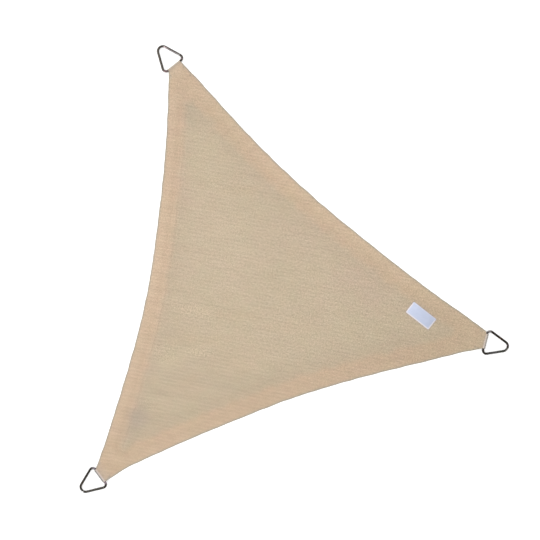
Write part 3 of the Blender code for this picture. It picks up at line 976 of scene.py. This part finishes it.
def make_strap(name, material):
    """A flat woven band round the ring's bar, with its ribs as real ridges."""
    corner, fold_light = CORNERS[name], STRAP_FOLD_PAINTED_LIGHT[name]
    path = strap_path(corner["slack"])
    outwards = -left_of(unit(np.gradient(path, axis=0)))  # away from the bar
    side = np.linspace(-1, 1, STRAP_RIBS * 4 + 1)
    rib = STRAP_RIDGE * np.cos(TAU * STRAP_RIBS * (side + 1) / 2)
    selvedge = np.sqrt(np.clip(1 - np.clip((np.abs(side) - 0.965) / 0.035, 0, 1) ** 2, 0, 1))
    half = STRAP_THICK / 2 * (0.25 + 0.75 * selvedge) + rib - STRAP_RIDGE
    across = side * STRAP_WIDTH / 2
    vertices, weave = [], []
    for (x, z), (out, up), along in zip(path, outwards, running(path)):
        # how much of the fold's painted highlight or shade shows here
        painted_fold = ease((x - corner["slack"] - fold_light["start"]) / fold_light["fade"])
        for depth in (half, -half):
            plan = in_corner(corner, x + out * depth, corner["shift"] + across)
            vertices.append(np.column_stack([plan, z + up * depth]))
            weave.append(np.column_stack([across, np.tile((along, painted_fold), (len(side), 1))]))

    grid = np.arange(len(vertices) * len(side)).reshape(len(path), 2, len(side))
    rows = np.concatenate([grid[:, 0], grid[:, 1, ::-1]], axis=1)
    faces = [face for one, other in zip(rows, rows[1:]) for face in between(one, other)]
    i, last = np.arange(len(side) - 1), rows.shape[1] - 1
    strips = np.stack([i, i + 1, last - 1 - i, last - i], axis=1)
    faces += rows[-1][strips].tolist() + rows[0][strips[:, ::-1]].tolist()
    strap = make_piece(f"strap_{name}", np.concatenate(vertices), faces, material, sharp=70)
    store(strap, "weave", np.concatenate(weave))
    return strap


def ring_path():
    """The wire's centre line: out is X, with the straight bar on X = 0."""
    peaks = np.array([(0, -RING_BASE / 2), (RING_HEIGHT, 0), (0, RING_BASE / 2)])
    radii = (RING_BASE_RADIUS, RING_TIP_RADIUS, RING_BASE_RADIUS)
    path = []
    for peak, before, after, radius in zip(peaks, peaks[[2, 0, 1]], peaks[[1, 2, 0]], radii):
        back, ahead = unit(before - peak), unit(after - peak)
        half = math.acos(back @ ahead) / 2
        middle = peak + unit(back + ahead) * radius / math.sin(half)
        x, y = peak + back * radius / math.tan(half) - middle
        angles = math.atan2(y, x) + (math.pi - 2 * half) * np.linspace(0, 1, ARC_STEPS + 1)
        path += [middle + radius * np.array([math.cos(a), math.sin(a)]) for a in angles]
    full = []
    for point, after in zip(path, path[1:] + path[:1]):
        steps = BAR_STEPS if np.linalg.norm(after - point) > 15 * MM else 1
        full += [point + (after - point) * step / steps for step in range(steps)]
    return np.array(full)


def wire_tint(name, share, outward, upward):
    """The steel's colour along and round the wire, dark as painted reflection, whose marks and painted
    highlights fade towards its underside.
    """
    tint = np.tile(STEEL_PAINTED_REFLECTIONS[name], (len(share), 1))
    for mark in [mark for mark in RING_MARKS_AND_HIGHLIGHTS if mark.corner == name]:
        there = np.exp(-(((share - mark.at) / mark.reach) ** 4)) * ease((upward + 0.25) / 0.3)
        if mark.side:
            there *= ease((mark.side * outward + 0.05) / 0.35)
        tint += there[:, None] * (np.array(mark.colour) - tint)
    return tint


def make_ring(name, material):
    """Round wire along the ring's path, with a low weld seam across it."""
    path = ring_path()
    after = np.roll(path, -1, axis=0)
    aside = -left_of(unit(after - np.roll(path, 1, axis=0)))
    steps = np.linalg.norm(after - path, axis=1)
    along = np.concatenate([[0], np.cumsum(steps)[:-1]])
    at_weld = bell(along - WELDS[name] * steps.sum(), WELD_WIDTH)
    angles = TAU * np.arange(WIRE_SIDES) / WIRE_SIDES
    outward, upward = np.cos(angles), np.sin(angles)
    radius = WIRE_RADIUS * (1 + WELD_RISE * at_weld[:, None] * np.clip(upward, 0, 1))
    plan = path[:, None] + (radius * outward)[..., None] * aside[:, None]
    out, left, high = plan[..., 0].ravel(), plan[..., 1].ravel(), (radius * upward).ravel()
    plan = in_corner(CORNERS[name], out * math.cos(RING_TILT) + high * math.sin(RING_TILT), left)
    up = -out * math.sin(RING_TILT) + high * math.cos(RING_TILT) + BAR_HEIGHT

    grid = np.arange(len(out)).reshape(radius.shape)
    lines = zip(grid.T, np.roll(grid, -1, axis=1).T)
    faces = [face for one, other in lines for face in between(one, other)]
    ring = make_piece(f"wire_ring_{name}", np.column_stack([plan, up]), faces, material)
    share, outward, upward = np.broadcast_arrays((along / steps.sum())[:, None], outward, upward)
    store(ring, "weld", np.repeat(at_weld, WIRE_SIDES))
    store(ring, "tint", wire_tint(name, share.ravel(), outward.ravel(), upward.ravel()))
    return ring


def make_label(material):
    """A thin woven patch with a folded border, sewn down all round."""
    half = np.array(LABEL_SIZE) / 2
    lines = [np.linspace(-1, 1, steps + 1) for steps in LABEL_STEPS]
    index = np.arange(len(lines[0]) * len(lines[1])).reshape(len(lines[0]), len(lines[1]))
    place = np.stack(np.meshgrid(*lines, indexing="ij"), axis=-1).reshape(-1, 2) * half
    # round the corners by pulling the points of the grid in
    over = np.clip(np.abs(place) - (half - LABEL_CORNER), 0, None) / LABEL_CORNER
    pull = np.maximum(np.linalg.norm(over, axis=1, keepdims=True), 1.0)
    pulled = np.sign(place) * (half - LABEL_CORNER + over / pull * LABEL_CORNER)
    place = np.where(over.min(axis=1, keepdims=True) > 0, pulled, place)
    x, y = place.T
    plan = placed(LABEL_PLACE, LABEL_TURN, x, y)
    inside = (half - np.abs(place)).min(axis=1)

    base = upper_side(plan, rows=False) + ROW_RELIEF + 0.05 * MM
    puff = LABEL_PUFF * ease((inside - LABEL_STITCH) / LABEL_PUFF_WIDTH)
    puff += LABEL_WAVES * wander(x + 0.6 * y, 91, 0.05, 0.022) * ease(inside / LABEL_WAVES_WIDTH)
    edge = ease(inside / LABEL_RIM)
    folded = LABEL_FOLD * ease((LABEL_BORDER - inside) / LABEL_FOLD_SOFT) * edge
    drawn = LABEL_DRAWN * bell(inside - LABEL_STITCH, LABEL_DRAWN_WIDTH)
    top = base + LABEL_THICK * (0.45 + 0.55 * edge) + puff + folded - drawn
    low = base + np.clip(puff, 0, None) * 0.8

    size = len(plan)
    quads = np.stack([index[:-1, :-1], index[1:, :-1], index[1:, 1:], index[:-1, 1:]], axis=-1)
    quads = quads.reshape(-1, 4)
    rim = np.array([*index[:, 0], *index[-1, 1:], *index[-2::-1, -1], *index[0, -2:0:-1]])
    following = np.roll(rim, -1)
    walls = np.stack([rim, size + rim, size + following, following], axis=1)
    faces = np.concatenate([quads, size + quads[:, ::-1], walls]).tolist()
    vertices = np.concatenate([np.column_stack([plan, top]), np.column_stack([plan, low])])
    label = make_piece("label_patch", vertices, faces, material, sharp=75)
    store(label, "place", np.tile(np.column_stack([place, inside]), (2, 1)))
    return label


def stitch_run(points, pitch):
    """Evenly spaced places and directions along a line on the ground."""
    along = running(points)
    count = max(1, int(round(along[-1] / pitch)))
    step = along[-1] / count
    at = (np.arange(count) + 0.5) * step

    def place(at):
        """The places this far along the line."""
        return np.stack([np.interp(at, along, values) for values in points.T], axis=1)

    return place(at), unit(place(at + 0.3 * step) - place(at - 0.3 * step))


def sew(name, runs, height, material, length, radius, face_up=True, lift_up=0.12 * MM):
    """One piece of thread from several runs of stitches on the surface that height gives.

    Each stitch is a short bent capsule that dips into the cloth at both ends.
    """
    place, ahead = (np.concatenate(part) for part in zip(*runs))

    def on_surface(way, step=1.2 * MM):
        """This direction on the ground, made to follow the surface."""
        rise = (height(place + way * step) - height(place - way * step)) / (2 * step)
        return unit(np.column_stack([way, rise]))

    middle = np.column_stack([place, height(place)])
    ahead, aside = on_surface(ahead), on_surface(left_of(ahead))
    up = unit(np.cross(ahead, aside)) * (1 if face_up else -1)
    aside = np.cross(up, ahead)
    points = []
    for share in STITCH_SHARES:
        centre = middle + ahead * share * length / 2 + up * lift_up * (1 - 1.6 * share**2)
        thick = radius * (1 - 0.35 * share**2)
        for angle in TAU * np.arange(STITCH_SIDES) / STITCH_SIDES:
            points.append(centre + thick * (math.cos(angle) * aside + math.sin(angle) * up))

    grid = np.arange(len(points)).reshape(len(STITCH_SHARES), STITCH_SIDES)
    walls = np.concatenate([between(one, other) for one, other in zip(grid, grid[1:])])
    ends = np.stack([grid[0, ::-1], grid[-1]])
    first = len(points) * np.arange(len(middle))[:, None, None]
    faces = [face for part in (walls, ends) for stitch in (first + part).tolist() for face in stitch]
    return make_piece(name, np.stack(points, axis=1).reshape(-1, 3), faces, material)


def strap_seams(corner):
    """The box with a cross that holds a strap's tail, and the row along the cloth's end."""
    near, far, half = SEAM_NEAR, SEAM_FAR, STRAP_WIDTH / 2 - SEAM_MARGIN
    box = [(near, -half), (near, half), (far, half), (far, -half), (near, -half)]
    end_row = [(SEAM_END, -half - 1 * MM), (SEAM_END, half + 1 * MM)]
    lines = [np.array(line) for line in (box, [box[0], box[2]], [box[1], box[3]], end_row)]
    return [in_corner(corner, -line[:, 0], line[:, 1] + corner["shift"]) for line in lines]


# ---------------------------------------------------------------- materials


class Nodes:
    """A node tree, with short ways to add and join its nodes."""

    def __init__(self, tree):
        self.tree = tree

    def join(self, source, target):
        """Links a node's output to an input, or sets the input to a value."""
        if hasattr(source, "is_output"):
            self.tree.links.new(source, target)
        else:
            target.default_value = source

    def add(self, kind, inputs=(), output=0, **settings):
        """Adds a node with these settings and these inputs, and says one of its outputs."""
        node = self.tree.nodes.new(f"ShaderNode{kind}")
        for key, value in settings.items():
            setattr(node, key, value)
        for key, value in inputs.items() if isinstance(inputs, dict) else enumerate(inputs):
            self.join(value, node.inputs[key])
        return node.outputs[output]


class Look(Nodes):
    """A material, with short ways to reckon with its nodes."""

    def __init__(self, name, **constants):
        self.material = bpy.data.materials.new(name)
        self.material.use_nodes = True
        super().__init__(self.material.node_tree)
        self.shader = self.tree.nodes["Principled BSDF"]
        for key, value in constants.items():
            self.shader.inputs[key.replace("_", " ")].default_value = value

    def stored(self, name, output="Color"):
        return self.add("Attribute", output=output, attribute_name=name)

    def split(self, vector):
        return self.add("SeparateXYZ", [vector]).node.outputs

    def combine(self, x, y, z=0.0):
        return self.add("CombineXYZ", [x, y, z])

    def math(self, operation, *values):
        return self.add("Math", values, operation=operation)

    def times(self, one, other):
        return self.math("MULTIPLY", one, other)

    def total(self, start, *parts):
        """The start plus each part times its weight."""
        for part, weight in parts:
            start = self.math("MULTIPLY_ADD", part, weight, start)
        return start

    def clamp(self, value, low=0.0, high=1.0):
        return self.add("Clamp", [value, low, high])

    def wave(self, place, period, shift=0.0):
        """A cosine of this period."""
        return self.math("COSINE", self.total(shift, (place, TAU / period)))

    def noise(self, vector, scale, detail=2.0, roughness=0.5):
        """Random patches from about -1 to 1."""
        inputs = dict(Vector=vector, Scale=scale, Detail=detail, Roughness=roughness)
        return self.total(-2.0, (self.add("TexNoise", inputs), 4.0))

    def scaled(self, colour, factor):
        return self.add("VectorMath", {0: colour, "Scale": factor}, operation="SCALE")

    def blend(self, share, one, other):
        return self.add("Mix", {0: share, 6: one, 7: other}, 2, data_type="RGBA")

    def finish(self, colour, roughness, relief):
        """Joins the look to its shader, with the relief in millimetres, and says the material."""
        bump = self.add("Bump", dict(Strength=1.0, Distance=MM, Height=relief))
        for value, name in ((colour, "Base Color"), (roughness, "Roughness"), (bump, "Normal")):
            self.join(value, self.shader.inputs[name])
        return self.material


def knit_look():
    """Knitted tape in courses, four to a row, with uneven rows, speckle and soft mottling."""
    look = Look("knit", Sheen_Weight=0.12, Sheen_Roughness=0.6, Specular_IOR_Level=0.25)
    u, v, _ = look.split(look.stored("knit"))

    def spots(scale, detail=2.0, roughness=0.6, layer=0.0, along=1.0, across=1.0):
        """Random patches, drawn out where along or across is less than 1."""
        place = look.combine(look.times(u, along), look.times(v, across), layer)
        return look.noise(place, scale, detail, roughness)

    grain = look.stored("grain", "Fac")
    drift = spots(9.0, roughness=0.5, along=0.3, across=0.6)
    streaks = spots(150.0, along=0.10)
    grains = look.times(spots(105.0, 1.0), grain)
    specks = look.times(spots(180.0, 1.0, layer=3.0), grain)
    patches = spots(16.0, roughness=0.5)
    tints = spots(24.0, layer=5.0)
    bands = spots(30.0, layer=7.0, along=0.28)
    glint = look.clamp(look.total(-0.98, (spots(95.0, 1.0, 0.5), 1.0)))

    course = look.math("FLOOR", look.total(0.5, (v, 1 / COURSE)))
    loops = look.wave(u, LOOP, look.times(course, math.pi))
    courses = look.wave(v, COURSE)
    rows = look.wave(v, ROW, look.times(drift, 1.3))
    rows = look.math("POWER", look.total(0.5, (rows, 0.5)), 1.6)
    uneven_rows = look.times(look.total(-0.42, (rows, 1.0)), look.total(1.0, (patches, 0.6)))

    shade = look.total(
        1.0,
        (uneven_rows, 0.055),
        (streaks, 0.046),
        (grains, 0.075),
        (specks, 0.182),
        (bands, 0.038),
        (courses, 0.05),
        (look.times(loops, courses), 0.05),
        (glint, 0.6),
    )
    tint = look.combine(
        look.total(1.0, (tints, 0.014)),
        look.total(1.0, (tints, -0.008)),
        look.total(1.0, (patches, 0.016)),
    )
    tint = look.add("VectorMath", [look.stored("tint"), tint], operation="MULTIPLY")
    relief = look.total(
        0.0,
        (courses, 0.16),
        (look.times(loops, look.total(0.7, (courses, 0.5))), 0.12),
        (rows, 0.18),
        (specks, 0.08),
        (streaks, 0.06),
    )
    roughness = look.clamp(look.total(0.82, (specks, 0.05)), 0.6)
    return look.finish(look.scaled(tint, shade), roughness, relief)


def webbing_look(name):
    """Ribbed woven band, with a painted highlight or painted shade where it is folded round the bar."""
    look = Look(f"webbing_{name}", Sheen_Weight=0.2, Sheen_Roughness=0.5, Specular_IOR_Level=0.3)
    across, along, painted_fold = look.split(look.stored("weave"))
    place = look.combine(across, along)
    twill = look.wave(look.total(along, (across, 0.8)), 1.5 * MM)
    ribs = look.wave(across, STRAP_WIDTH / STRAP_RIBS)
    fuzz, soil = look.noise(place, 900.0), look.noise(place, 60.0)
    shade = look.total(1.0, (ribs, 0.07), (twill, 0.05), (fuzz, 0.05), (soil, 0.03))
    tint = look.blend(painted_fold, (*WEBBING_TINTS[name], 1.0), (*STRAP_FOLD_PAINTED_LIGHT[name]["tint"], 1.0))
    roughness = look.clamp(look.total(0.78, (fuzz, 0.06)), 0.55)
    relief = look.total(0.0, (ribs, 0.10), (twill, 0.12), (fuzz, 0.05))
    return look.finish(look.scaled(tint, shade), roughness, relief)


def steel_look():
    """Polished stainless wire with fine draw lines, and a darker heat tint at its weld. Its stored colour is
    dark as painted reflection, with painted highlights.
    """
    look = Look("polished_steel", Metallic=1.0, Specular_Tint=STEEL_GLANCE)
    place = look.add("TexCoord", output="Object")
    cloud, fine = look.noise(place, 60.0, 3.0), look.noise(place, 900.0)
    weld = look.stored("weld", "Fac")
    steel = look.scaled(look.stored("tint"), look.total(1.0, (cloud, 0.10)))
    tint = look.blend(look.clamp(look.times(weld, 0.4), high=0.4), steel, WELD_TINT)
    roughness = look.clamp(look.total(0.17, (cloud, 0.04), (weld, 0.15)), 0.06, 0.5)
    return look.finish(tint, roughness, look.times(fine, 0.012))


def label_look():
    """Satin-woven white field inside a whiter folded border."""
    look = Look("woven_label", Sheen_Weight=0.15, Specular_IOR_Level=0.35)
    x, y, inside = look.split(look.stored("place"))
    place = look.combine(x, y)
    warp, weft = look.wave(x, 0.55 * MM), look.wave(y, 0.42 * MM)
    fuzz, soil = look.noise(place, 700.0), look.noise(place, 45.0)
    border = look.clamp(look.total(LABEL_BORDER / (0.5 * MM), (inside, -1 / (0.5 * MM))))
    upper = look.clamp(look.total(-3.0, (y, 1 / (6 * MM))), high=LABEL_BORDER_DULL)
    border = look.times(border, look.total(1.0, (upper, -1.0)))
    faded = look.times(x, look.total(-1.0, (border, 0.4)))
    shade = look.total(
        1.0,
        (look.times(warp, weft), 0.035),
        (fuzz, 0.02),
        (soil, 0.03),
        (faded, LABEL_FADE / LABEL_SIZE[0]),
    )
    tint = look.blend(border, (*LABEL_FIELD, 1.0), (*LABEL_EDGE, 1.0))
    roughness = look.clamp(look.total(0.6, (fuzz, 0.05)), 0.4, 0.9)
    relief = look.total(0.0, (warp, 0.05), (weft, 0.05), (fuzz, 0.02))
    return look.finish(look.scaled(tint, shade), roughness, relief)


def thread_look():
    """Two-ply polyester thread."""
    look = Look("thread", Sheen_Weight=0.2, Specular_IOR_Level=0.4)
    place = look.add("TexCoord", output="Object")
    x, y, z = look.split(place)
    ply = look.wave(look.total(x, (y, 1.0), (z, 1.0)), 0.7 * MM)
    fuzz = look.noise(place, 500.0)
    shade = look.total(1.0, (ply, 0.08), (fuzz, 0.05))
    roughness = look.clamp(look.total(0.62, (fuzz, 0.06)), 0.4, 0.9)
    return look.finish(look.scaled(THREAD_TINT, shade), roughness, look.times(ply, 0.06))


# ---------------------------------------------------------------- the room


def in_photo(right, up, high):
    """The place or direction this far right and up in the photograph, and this far towards its viewer."""
    return (*placed((0, 0), -PHOTO_TURN, right, up), high)


def make_floor():
    """A plain pale floor."""
    mesh = bpy.data.meshes.new("floor")
    corners = [(-1, -1), (1, -1), (1, 1), (-1, 1)]
    mesh.from_pydata([(x * FLOOR_HALF, y * FLOOR_HALF, 0) for x, y in corners], [], [(0, 1, 2, 3)])
    floor = add_object("floor", mesh)
    look = Look("pale_floor", Roughness=0.9, Specular_IOR_Level=0.1, Emission_Strength=0.3,
                Base_Color=(0.90, 0.90, 0.90, 1.0))
    mesh.materials.append(look.material)


def make_light():
    """A soft sky that is brightest towards the upper left, and two lamps."""
    world = bpy.data.worlds.new("studio")
    bpy.context.scene.world = world
    world.use_nodes = True
    nodes = Nodes(world.node_tree)
    direction = nodes.add("TexCoord", output="Generated")
    towards = nodes.add("VectorMath", [direction, in_photo(*DOME_TOWARDS)], "Value", operation="DOT_PRODUCT")
    slope = DOME_SLOPE * DOME_STRENGTH
    strength = nodes.add("Math", [towards, slope, DOME_STRENGTH], operation="MULTIPLY_ADD")
    background = world.node_tree.nodes["Background"]
    background.inputs["Color"].default_value = (1.0, 1.0, 1.0, 1.0)
    nodes.join(strength, background.inputs["Strength"])

    for name, lamp in LAMPS.items():
        data = bpy.data.lights.new(name, "AREA")
        data.shape = "DISK"
        data.size = lamp["size"]
        data.energy = lamp["power"]
        light = add_object(name, data)
        light.location = in_photo(lamp["right"], lamp["up"], lamp["high"])
        light.rotation_euler = (-light.location).to_track_quat("-Z", "Y").to_euler()


def make_camera():
    """The camera straight above the sail, turned as in the photograph."""
    data = bpy.data.cameras.new("camera")
    data.lens = LENS
    data.sensor_width = SENSOR
    camera = add_object("camera", data)
    right = PIXEL * (PHOTO_SIDE / 2 - ORIGIN_PIXEL[0])
    up = PIXEL * (ORIGIN_PIXEL[1] - PHOTO_SIDE / 2)
    camera.location = in_photo(right, up, PIXEL * PHOTO_SIDE * LENS / SENSOR)
    camera.rotation_euler = (0, 0, -math.radians(PHOTO_TURN))
    bpy.context.scene.camera = camera
    bpy.context.scene.view_settings.view_transform = "Standard"


def main():
    """Makes the pieces and the room, and hides the model's pieces that they stand in for."""
    steel, thread = steel_look(), thread_look()
    cloth = make_cloth(knit_look())
    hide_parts("sail_cloth")

    seams = [HEM_LINE.offset(line) for line in STITCH_LINES]
    runs = [stitch_run(np.concatenate([seam, seam[:1]]), HEM_PITCH) for seam in seams]
    upper = sew("hem_thread_upper", runs, lambda p: upper_side(p) + 0.10 * MM, thread, **HEM_STITCH)
    under = sew("hem_thread_under", runs, lambda p: lift(p) + REST + 0.25 * MM, thread,
                face_up=False, lift_up=0.02 * MM, **HEM_STITCH)
    for name, corner in CORNERS.items():
        strap = make_strap(name, webbing_look(name))
        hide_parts(f"loop_{name}")
        ring = make_ring(name, steel)
        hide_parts(f"ring_{name}")
        runs = [stitch_run(line, STRAP_PITCH) for line in strap_seams(corner)]
        sew(f"strap_thread_{name}", runs, lambda p: upper_side(p, rows=False) + 0.12 * MM,
                           thread, **STRAP_STITCH)

    label = make_label(label_look())
    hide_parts("label")
    make_floor()
    make_light()
    make_camera()


main()
